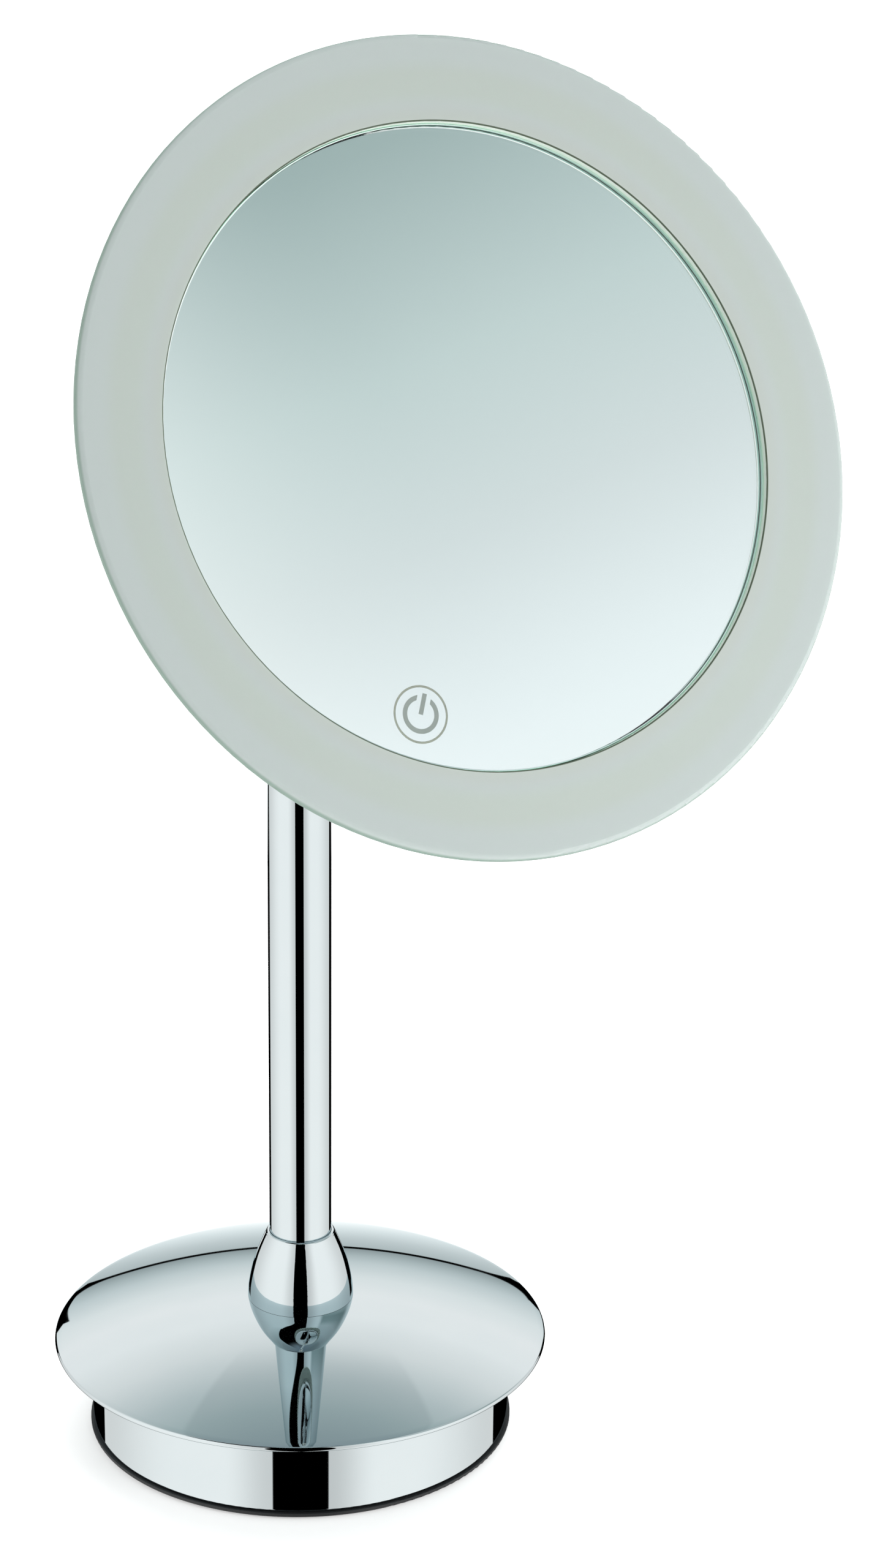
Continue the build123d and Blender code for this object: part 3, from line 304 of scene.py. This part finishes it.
def add_studio():
    """Soft light all round, with the dark gaps between the panels that chrome needs."""
    world = bpy.data.worlds.new("studio")
    world.use_nodes = True
    scene.world = world
    graph = Graph(world.node_tree)
    background = world.node_tree.nodes["Background"]
    direction = graph.node("ShaderNodeTexCoord").outputs["Generated"]
    across = graph.dot(direction, STUDIO_RIGHT)
    along = graph.dot(direction, STUDIO_AHEAD)
    rise = graph.dot(direction, (0.0, 0.0, 1.0))
    to_degrees = math.degrees(1)
    elevation = graph.maths("MULTIPLY", graph.maths("ARCSINE", rise), to_degrees)
    from_rear = graph.maths("MULTIPLY", graph.maths("ARCTAN2", across, along), to_degrees)
    away = graph.maths("ABSOLUTE", from_rear)
    to_camera = graph.maths("MULTIPLY", along, -1.0)
    from_camera = graph.maths("MULTIPLY", graph.maths("ARCTAN2", across, to_camera), to_degrees)

    # softboxes either side of the camera are a little darker towards their edges
    left = graph.ramp(elevation, -90, 90, LEFT_LIGHT)
    right = graph.ramp(elevation, -90, 90, RIGHT_LIGHT)
    side = graph.mix(graph.span(from_camera, *LEFT_TO_RIGHT), left, right)
    fade, rear_dim = SIDE_FADE
    rear_edge = graph.span(away, SIDE_START, SIDE_START + fade, rear_dim, 1.0)
    left_edge = graph.span(from_camera, GAP_LEFT - FRONT_FADE, GAP_LEFT, 1.0, FRONT_DIM_LEFT)
    right_edge = graph.span(from_camera, GAP_RIGHT, GAP_RIGHT + FRONT_FADE, FRONT_DIM_RIGHT, 1.0)
    front_edge = graph.mix(graph.span(from_camera, -1, 1), left_edge, right_edge)
    side = graph.mix(rear_edge, BLACK, side)
    side = graph.mix(front_edge, BLACK, side)

    # the gap between them opens to the left as it rises
    spread_start, spread_end, spread = GAP_SPREAD
    gap_left = graph.span(elevation, spread_start, spread_end, GAP_LEFT, GAP_LEFT - spread)
    gap = graph.span(graph.maths("SUBTRACT", from_camera, gap_left), -EDGE / 2, EDGE / 2)
    gap_right = graph.span(from_camera, GAP_RIGHT - EDGE / 2, GAP_RIGHT + EDGE / 2, 1.0, 0.0)
    gap = graph.maths("MULTIPLY", gap, gap_right)
    gap_end = graph.span(elevation, GAP_TOP - GAP_TOP_SOFT, GAP_TOP + GAP_TOP_SOFT, 1.0, 0.0)
    gap = graph.maths("MULTIPLY", gap, gap_end)
    side = graph.mix(gap, side, BLACK)

    # the table sweep and the back panel part from each other away from the middle
    outer_left = graph.maths("MAXIMUM", graph.maths("SUBTRACT", SEAM_LEFT, from_rear), 0.0)
    outer_right = graph.maths("MAXIMUM", graph.maths("SUBTRACT", from_rear, SEAM_RIGHT), 0.0)
    outer_left = graph.maths("POWER", outer_left, 2.0)
    outer_right = graph.maths("POWER", outer_right, 2.0)
    table_top = graph.maths("MULTIPLY_ADD", outer_left, TABLE_DROP_LEFT, SEAM_LOW)
    table_top = graph.maths("MULTIPLY_ADD", outer_right, TABLE_DROP_RIGHT, table_top)
    panel_bottom = graph.maths("MULTIPLY_ADD", outer_left, PANEL_LIFT_LEFT, SEAM_HIGH)
    lift_right = graph.maths("MULTIPLY", outer_right, PANEL_LIFT_RIGHT)
    lift_right = graph.maths("MINIMUM", lift_right, PANEL_MOST_RIGHT)
    panel_bottom = graph.maths("ADD", panel_bottom, lift_right)
    panel_bottom = graph.maths("MINIMUM", panel_bottom, CARD_TOP)
    on_table = graph.span(graph.maths("SUBTRACT", table_top, elevation), -SEAM_SOFT, SEAM_SOFT)
    on_panel = graph.span(graph.maths("SUBTRACT", elevation, panel_bottom), -SEAM_SOFT, SEAM_SOFT)
    rear = graph.mix(on_table, BLACK, graph.ramp(elevation, -90, 90, TABLE_LIGHT))
    rear = graph.mix(on_panel, rear, graph.ramp(elevation, -90, 90, REAR_LIGHT))

    # the cards are lower than the back panel
    card = graph.inside(away, CARD_START, SIDE_START + CARD_OVERLAP, EDGE)
    card = graph.maths("MULTIPLY", card, graph.span(elevation, CARD_TOP, CARD_TOP + CARD_FADE, 1.0, 0.0))
    rear = graph.mix(card, rear, BLACK)
    softness = graph.span(elevation, CARD_TOP, CARD_TOP + CARD_BLEND, EDGE, SIDE_SOFT)
    half = graph.maths("MULTIPLY", softness, 0.5)
    start = graph.maths("SUBTRACT", SIDE_START, half)
    end = graph.maths("ADD", SIDE_START, half)
    light = graph.mix(graph.span(away, start, end), rear, side)

    # a darker wedge of ceiling shows between the overhead panels, behind the object
    height = graph.maths("MAXIMUM", rise, 0.05)
    spread = graph.maths("ABSOLUTE", graph.maths("DIVIDE", across, height))
    depth = graph.maths("DIVIDE", along, height)
    wedge = graph.maths("SUBTRACT", WEDGE_WIDTH, graph.maths("MULTIPLY", depth, WEDGE_TAPER))
    ceiling = graph.span(graph.maths("SUBTRACT", wedge, spread), -WEDGE_SOFT, WEDGE_SOFT)
    share = graph.span(elevation, WEDGE_START, WEDGE_FULL, 0.0, WEDGE_SHARE)
    ceiling = graph.maths("MULTIPLY", ceiling, share)
    ceiling = graph.maths("MULTIPLY", ceiling, graph.span(along, 0.0, 0.1))
    light = graph.mix(ceiling, light, WEDGE_COLOUR)

    # chrome seen in other chrome sees a dimmer, bluer studio
    path = graph.node("ShaderNodeLightPath")
    again = graph.span(path.outputs["Glossy Depth"], 1.4, 1.6)
    light = graph.mix(again, light, SECOND_BOUNCE, blend="MULTIPLY")
    light = graph.mix(path.outputs["Is Camera Ray"], light, BACKDROP_COLOUR)
    graph.feed(background.inputs["Color"], light)
    background.inputs["Strength"].default_value = 1.0


def add_floor():
    """A large pale floor. Chrome sees the studio's panels in its place."""
    data = bpy.data.meshes.new("floor")
    corners = [(-1, -1), (1, -1), (1, 1), (-1, 1)]
    data.from_pydata([(x * FLOOR_RADIUS, y * FLOOR_RADIUS, 0) for x, y in corners], [], [(0, 1, 2, 3)])
    floor = bpy.data.objects.new("floor", data)
    floor.location.z = cad_low.z - FLOOR_DROP
    scene.collection.objects.link(floor)
    floor.visible_glossy = False
    floor.visible_transmission = False
    material = bpy.data.materials.new("floor")
    material.use_nodes = True
    graph = Graph(material.node_tree)
    shader = material.node_tree.nodes["Principled BSDF"]
    tone = graph.noise(3.0, 2.0)
    pale = graph.mix(tone, FLOOR_COLOUR, [0.985 * part for part in FLOOR_COLOUR])
    graph.feed(shader.inputs["Base Color"], pale)
    shader.inputs["Roughness"].default_value = 0.9
    shader.inputs["Specular IOR Level"].default_value = 0.0
    graph.feed(shader.inputs["Emission Color"], pale)
    shader.inputs["Emission Strength"].default_value = FLOOR_GLOW
    data.materials.append(material)


def place_light(light, towards):
    """Turns a light to shine from the given direction, unseen by chrome and glass."""
    light.rotation_mode = "QUATERNION"
    light.rotation_quaternion = towards.to_track_quat("Z", "Y")
    light.visible_glossy = False
    light.visible_transmission = False
    scene.collection.objects.link(light)


def add_overhead_softbox():
    """A very soft light for the matt parts, from high behind the object."""
    data = bpy.data.lights.new("overhead_softbox", "SUN")
    data.energy = OVERHEAD_STRENGTH
    data.angle = math.radians(OVERHEAD_SIZE)
    light = bpy.data.objects.new("overhead_softbox", data)
    turn, tip = math.radians(OVERHEAD_AZIMUTH), math.radians(OVERHEAD_ELEVATION)
    flat = math.sin(turn) * STUDIO_RIGHT + math.cos(turn) * STUDIO_AHEAD
    towards = math.cos(tip) * flat + math.sin(tip) * Vector((0, 0, 1))
    place_light(light, towards)


def add_front_lamp():
    """A nearby softbox, lower right of the head, that the matt ring brightens towards."""
    data = bpy.data.lights.new("front_softbox", "AREA")
    data.shape = "DISK"
    data.size = FRONT_LAMP_SIZE
    data.energy = FRONT_LAMP_POWER
    light = bpy.data.objects.new("front_softbox", data)
    right, ahead, up = FRONT_LAMP_PLACE
    offset = right * STUDIO_RIGHT + ahead * STUDIO_AHEAD + up * Vector((0, 0, 1))
    light.location = HEAD_CENTRE + offset
    light.visible_camera = False
    place_light(light, offset)


# ---------------------------------------------------------------- the head's own frame
def head_frame():
    """The way the mirror faces and the centre of its front rim."""
    roll = {joint["name"]: joint for joint in frame["joints"]}["head_roll"]
    ball = Vector(roll["pos_m"])
    facing = Vector(roll["axis"]).normalized()
    ring = frame["nodes"]["diffuser_ring"].data
    rim_depth = max((vertex.co - ball).dot(facing) for vertex in ring.vertices)
    return facing, ball + rim_depth * facing


HEAD_FACING, HEAD_CENTRE = head_frame()


def head_place(graph):
    """Radius from the head's axis and depth behind its front rim, both in millimetres."""
    offset = graph.vector("SUBTRACT", graph.place(), HEAD_CENTRE)
    ahead = graph.dot(offset, HEAD_FACING)
    length = graph.vector("LENGTH", offset, out="Value")
    square = graph.maths("SUBTRACT", graph.maths("POWER", length, 2.0), graph.maths("POWER", ahead, 2.0))
    radius = graph.maths("SQRT", graph.maths("MAXIMUM", square, 0.0))
    return graph.maths("DIVIDE", radius, MM), graph.maths("DIVIDE", ahead, -MM)


# ---------------------------------------------------------------- materials
def new_material(name):
    material = bpy.data.materials.new(name)
    material.use_nodes = True
    return Graph(material.node_tree), material.node_tree.nodes["Principled BSDF"], material


def bump(graph, shader, height, strength, distance):
    """distance is the height in metres of a full step of the pattern."""
    made = graph.node("ShaderNodeBump")
    made.inputs["Strength"].default_value = strength
    made.inputs["Distance"].default_value = distance
    graph.feed(made.inputs["Height"], height)
    graph.feed(shader.inputs["Normal"], made.outputs["Normal"])


def colour_and_roughness(graph, shader, pattern, colours, roughness):
    """Both follow one pattern, from its low end to its high end."""
    graph.feed(shader.inputs["Base Color"], graph.mix(pattern, *colours))
    graph.feed(shader.inputs["Roughness"], graph.span(pattern, 0.25, 0.75, *roughness))


def chrome():
    """Bright plate with a faint haze where it has been wiped."""
    graph, shader, material = new_material("polished_chrome")
    haze = graph.noise(55.0, 5.0, 0.6)
    colour_and_roughness(graph, shader, haze, ((0.69, 0.735, 0.75), (0.735, 0.77, 0.78)), (0.012, 0.03))
    shader.inputs["Metallic"].default_value = 1.0
    bump(graph, shader, graph.noise(120.0, 1.0), 0.03, 0.02 * MM)
    return material


def moulded(name, low, high, roughness, grain, depth, soft=0.0):
    """Moulded plastic or rubber with a fine even grain."""
    graph, shader, material = new_material(name)
    tone = graph.noise(35.0, 4.0)
    colour_and_roughness(graph, shader, tone, (low, high), roughness)
    if soft:
        shader.inputs["Subsurface Weight"].default_value = soft
        shader.inputs["Subsurface Radius"].default_value = (1.0, 0.9, 0.7)
        shader.inputs["Subsurface Scale"].default_value = 2.0 * MM
    bump(graph, shader, graph.noise(grain, 3.0, 0.65), 0.5, depth)
    return material


def metal(name, low, high, roughness, grain, depth):
    """Bare or plated metal with mottling and fine tool marks."""
    graph, shader, material = new_material(name)
    mottle = graph.noise(160.0, 5.0, 0.6)
    colour_and_roughness(graph, shader, mottle, (low, high), roughness)
    shader.inputs["Metallic"].default_value = 1.0
    bump(graph, shader, graph.noise(grain, 4.0, 0.7), 0.4, depth)
    return material


def frosted_acrylic():
    """Satin acrylic, pale on its face; painted shade darkens its green rim, a band on its face, the lip's
    corner and its back, and painted light pales the lip's inner wall.
    """
    graph, shader, material = new_material("frosted_acrylic")
    radius, depth = head_place(graph)
    cloud = graph.noise(14.0, 3.0)
    # painted shade: a soft, patchy band across the face, a shade darker and warmer
    warm_shade = graph.inside(radius, *RING_WARM_BAND)
    warm_shade = graph.maths("MULTIPLY", warm_shade, graph.span(cloud, 0.2, 0.8, 0.8, 1.0))
    face = graph.mix(warm_shade, RING_COOL, RING_WARM_SHADE)
    # the rim: the acrylic's green edge, darkened with painted shade
    colour = graph.mix(graph.span(radius, RING_EDGE_START, RING_EDGE_FULL), face, RING_EDGE_GREEN_AND_SHADE)
    colour = graph.mix(graph.span(radius, RING_LIP_START, RING_LIP_FULL), colour, RING_LIP)
    # painted shade: a dark line along the lip's corner
    colour = graph.mix(graph.span(radius, RING_CORNER_START, RING_CORNER_FULL), colour, RING_CORNER_SHADE)
    # painted light: the lip's inner wall is made far paler than the acrylic
    wall_light = graph.span(radius, RING_WALL_START, RING_WALL_FULL)
    wall_light = graph.maths("MULTIPLY", wall_light, graph.span(depth, *RING_CORNER_DEPTH))
    colour = graph.mix(wall_light, colour, RING_WALL_LIGHT)
    # painted shade: the ring's back, darker than its face
    behind = graph.maths(
        "MULTIPLY", graph.span(depth, *RING_BACK_DEPTH), graph.span(radius, *RING_BACK_RADIUS)
    )
    colour = graph.mix(behind, colour, RING_BACK_SHADE)
    graph.feed(shader.inputs["Base Color"], colour)
    frost = graph.noise(2600.0, 2.0)
    graph.feed(shader.inputs["Roughness"], graph.span(frost, 0.3, 0.7, 0.42, 0.55))
    shader.inputs["IOR"].default_value = 1.49
    shader.inputs["Subsurface Weight"].default_value = 0.35
    shader.inputs["Subsurface Radius"].default_value = (0.8, 1.0, 0.85)
    shader.inputs["Subsurface Scale"].default_value = 4.0 * MM
    bump(graph, shader, frost, 0.25, 0.02 * MM)
    return material


def mirror_glass():
    """Clear float glass, green where it is seen through its ground edge, with a painted glow along that
    edge.
    """
    graph, shader, material = new_material("mirror_glass")
    radius, _ = head_place(graph)
    edge = graph.span(radius, *GLASS_EDGE_RADIUS)
    graph.feed(shader.inputs["Base Color"], graph.mix(edge, (0.975, 0.99, 0.985), GLASS_EDGE))
    graph.feed(shader.inputs["Roughness"], graph.span(edge, 0.0, 1.0, 0.0, 0.4))
    graph.feed(shader.inputs["Transmission Weight"], graph.span(edge, 0.0, 1.0, 1.0, 0.25))
    # painted glow: the glass's edge gives out a faint green light of its own
    graph.feed(shader.inputs["Emission Color"], graph.mix(edge, BLACK, GLASS_EDGE_PAINTED_GLOW))
    shader.inputs["Emission Strength"].default_value = 1.0
    shader.inputs["IOR"].default_value = 1.52
    return material


def silver():
    """Bright silvering, a shade uneven."""
    graph, shader, material = new_material("silver_coating")
    cloud = graph.noise(20.0, 2.0)
    colour_and_roughness(graph, shader, cloud, ((0.95, 0.965, 0.965), (0.97, 0.98, 0.98)), (0.0, 0.003))
    shader.inputs["Metallic"].default_value = 1.0
    return material


def circuit_board():
    """Solder mask over copper tracks, with a pale silk grain."""
    graph, shader, material = new_material("circuit_board")
    track = graph.node("ShaderNodeTexBrick")
    graph.feed(track.inputs["Vector"], graph.place())
    track.inputs["Scale"].default_value = 1.0
    track.inputs["Mortar Size"].default_value = 0.5 * MM
    track.inputs["Brick Width"].default_value = 9.0 * MM
    track.inputs["Row Height"].default_value = 2.8 * MM
    lines = graph.maths("SUBTRACT", 1.0, track.outputs["Fac"])
    mask = graph.mix(graph.noise(300.0, 3.0), (0.012, 0.11, 0.05), (0.018, 0.15, 0.07))
    graph.feed(shader.inputs["Base Color"], graph.mix(lines, (0.05, 0.24, 0.11), mask))
    graph.feed(shader.inputs["Roughness"], graph.span(lines, 0.0, 1.0, 0.25, 0.38))
    bump(graph, shader, lines, 0.4, 0.035 * MM)
    return material


def led():
    """White package with a yellow phosphor window on its outward face."""
    graph, shader, material = new_material("led_chip")
    radius, depth = head_place(graph)
    window = graph.maths(
        "MULTIPLY", graph.span(radius, *LED_WINDOW_RADIUS), graph.inside(depth, *LED_WINDOW_DEPTH)
    )
    grain = graph.noise(2500.0, 2.0)
    phosphor = graph.mix(grain, (0.90, 0.72, 0.16), (0.95, 0.80, 0.26))
    graph.feed(shader.inputs["Base Color"], graph.mix(window, (0.86, 0.86, 0.84), phosphor))
    graph.feed(shader.inputs["Roughness"], graph.span(grain, 0.3, 0.7, 0.3, 0.5))
    return material


def cell_wrap():
    """Plain two-colour wrapper, bare steel at both ends."""
    graph, shader, material = new_material("cell_wrap")
    low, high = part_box("aa_cells")
    offset = graph.vector("SUBTRACT", graph.place(), (low + high) / 2)
    along = graph.maths("ABSOLUTE", graph.dot(offset, (0.0, 1.0, 0.0)))
    half_length = (high.y - low.y) / 2
    bare = graph.span(along, half_length - 1.6 * MM, half_length - 1.4 * MM)
    band = graph.span(along, half_length * 0.62, half_length * 0.63)
    grain = graph.noise(900.0, 3.0)
    sleeve = graph.mix(grain, (0.035, 0.09, 0.16), (0.05, 0.12, 0.20))
    sleeve = graph.mix(band, sleeve, (0.52, 0.55, 0.57))
    graph.feed(shader.inputs["Base Color"], graph.mix(bare, sleeve, (0.66, 0.66, 0.64)))
    graph.feed(shader.inputs["Metallic"], graph.span(bare, 0.0, 1.0, 0.15, 1.0))
    graph.feed(shader.inputs["Roughness"], graph.span(grain, 0.3, 0.7, 0.25, 0.38))
    return material


def symbol():
    """Fine frosted lines, sage grey inside a thin khaki ring."""
    graph, shader, material = new_material("etched_symbol")
    grain = graph.noise(1800.0, 3.0)
    low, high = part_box("touch_symbol")
    offset = graph.vector("SUBTRACT", graph.place(), (low + high) / 2)
    outward = graph.vector("LENGTH", offset, out="Value")
    lines = graph.mix(grain, SYMBOL_LOW, SYMBOL_HIGH)
    lines = graph.mix(graph.span(outward, *SYMBOL_RING_START), lines, SYMBOL_RING)
    graph.feed(shader.inputs["Base Color"], lines)
    graph.feed(shader.inputs["Roughness"], graph.span(grain, 0.25, 0.75, 0.45, 0.6))
    return material


MATERIALS = {
    "chrome": chrome,
    "black_plastic": lambda: moulded(
        "black_plastic", (0.012, 0.012, 0.013), (0.022, 0.022, 0.024), (0.42, 0.56), 1500.0, 0.05 * MM
    ),
    "white_plastic": lambda: moulded(
        "white_plastic", (0.74, 0.75, 0.73), (0.80, 0.81, 0.79), (0.32, 0.45), 900.0, 0.03 * MM, soft=0.15
    ),
    "grey_plastic": lambda: moulded(
        "grey_plastic", (0.30, 0.31, 0.32), (0.36, 0.37, 0.38), (0.38, 0.50), 1200.0, 0.04 * MM
    ),
    "nylon": lambda: moulded(
        "natural_nylon", (0.68, 0.65, 0.55), (0.76, 0.73, 0.63), (0.35, 0.48), 700.0, 0.03 * MM, soft=0.4
    ),
    "rubber": lambda: moulded(
        "rubber", (0.014, 0.014, 0.015), (0.026, 0.026, 0.027), (0.70, 0.86), 1100.0, 0.08 * MM
    ),
    "foam": lambda: moulded(
        "closed_cell_foam", (0.03, 0.03, 0.03), (0.09, 0.09, 0.09), (0.85, 0.95), 1400.0, 0.35 * MM
    ),
    "lead": lambda: moulded(
        "lead_sheath", (0.015, 0.015, 0.016), (0.03, 0.03, 0.032), (0.30, 0.42), 800.0, 0.02 * MM
    ),
    "iron": lambda: metal(
        "cast_iron", (0.05, 0.05, 0.052), (0.13, 0.125, 0.12), (0.55, 0.75), 650.0, 0.25 * MM
    ),
    "steel": lambda: metal(
        "zinc_plated_steel", (0.50, 0.52, 0.55), (0.66, 0.66, 0.64), (0.22, 0.36), 1400.0, 0.02 * MM
    ),
    "spring_steel": lambda: metal(
        "blued_spring_steel", (0.14, 0.16, 0.22), (0.26, 0.26, 0.29), (0.20, 0.32), 1200.0, 0.015 * MM
    ),
    "nickel": lambda: metal(
        "nickel_strip", (0.62, 0.58, 0.50), (0.72, 0.68, 0.60), (0.18, 0.30), 1500.0, 0.015 * MM
    ),
    "brass": lambda: metal(
        "turned_brass", (0.66, 0.47, 0.19), (0.78, 0.58, 0.27), (0.20, 0.32), 1300.0, 0.02 * MM
    ),
    "frosted_acrylic": frosted_acrylic,
    "glass": mirror_glass,
    "silver": silver,
    "symbol": symbol,
    "circuit_board": circuit_board,
    "led": led,
    "cell": cell_wrap,
}


# ---------------------------------------------------------------- the dome's rolled edge
DOME_RISE = 11.4 * MM
DOME_SHEET = 1.5 * MM
DOME_HOLE = 6.3 * MM
DOME_BEAD = 0.8 * MM
DOME_SEGMENTS = 360
DOME_ARC_STEPS = 40
DOME_BEAD_STEPS = 16
SHARP_ANGLE = 40.0  # edges that turn by more degrees than this stay crisp


def arc(centre, radius, start, end, steps):
    """Points (radius, height) on an arc, its angles measured from straight up."""
    angles = [start + (end - start) * step / steps for step in range(steps + 1)]
    return [(centre[0] + radius * math.sin(angle), centre[1] + radius * math.cos(angle)) for angle in angles]


def dome_profile():
    """The dome's section: outer skin, a bead that runs smoothly out of it, and the lining."""
    low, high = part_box("dome_cover")
    edge = (high.x - low.x) / 2
    sphere = (edge**2 + DOME_RISE**2) / (2 * DOME_RISE)
    middle = (0.0, high.z - math.sqrt(sphere**2 - DOME_HOLE**2))
    turn = math.asin((edge - DOME_BEAD) / (sphere - DOME_BEAD))
    bead = (edge - DOME_BEAD, middle[1] + (sphere - DOME_BEAD) * math.cos(turn))
    lining = sphere - DOME_SHEET
    lining_edge = math.asin((edge - 2 * DOME_BEAD) / lining)
    lining_hole = math.asin(DOME_HOLE / lining)
    outer = arc(middle, sphere, math.asin(DOME_HOLE / sphere), turn, DOME_ARC_STEPS)
    rolled = arc(bead, DOME_BEAD, turn, turn + math.pi, DOME_BEAD_STEPS)
    inner = arc(middle, lining, lining_edge, lining_hole, DOME_ARC_STEPS)
    return outer + rolled[1:] + inner


def lathe(name, profile, segments):
    """A closed profile turned about +Z, smooth except along its corners."""
    data = bpy.data.meshes.new(name)
    turns = [2 * math.pi * index / segments for index in range(segments)]
    points = [(r * math.cos(turn), r * math.sin(turn), z) for turn in turns for r, z in profile]
    count = len(profile)
    faces = []
    for segment in range(segments):
        here, there = segment * count, (segment + 1) % segments * count
        for step in range(count):
            after = (step + 1) % count
            faces.append((here + step, here + after, there + after, there + step))
    data.from_pydata(points, [], faces)
    data.shade_smooth()
    data.set_sharp_from_angle(angle=math.radians(SHARP_ANGLE))
    data.update()
    piece = bpy.data.objects.new(name, data)
    scene.collection.objects.link(piece)
    return piece


def add_dome(chrome_plate):
    dome = lathe("dome_cover_spun", dome_profile(), DOME_SEGMENTS)
    dome.data.materials.append(chrome_plate)
    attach(dome, "base")
    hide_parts("dome_cover")


def finish_nodes():
    """Each CAD node takes the material of the slot that it was given in the record."""
    made = {slot: build() for slot, build in MATERIALS.items()}
    for node in frame["nodes"].values():
        for index, material in enumerate(node.data.materials):
            node.data.materials[index] = made[material.name.split(".")[0]]
    add_dome(made["chrome"])


scene.view_settings.view_transform = "Standard"
add_camera()
add_studio()
add_floor()
add_overhead_softbox()
add_front_lamp()
finish_nodes()
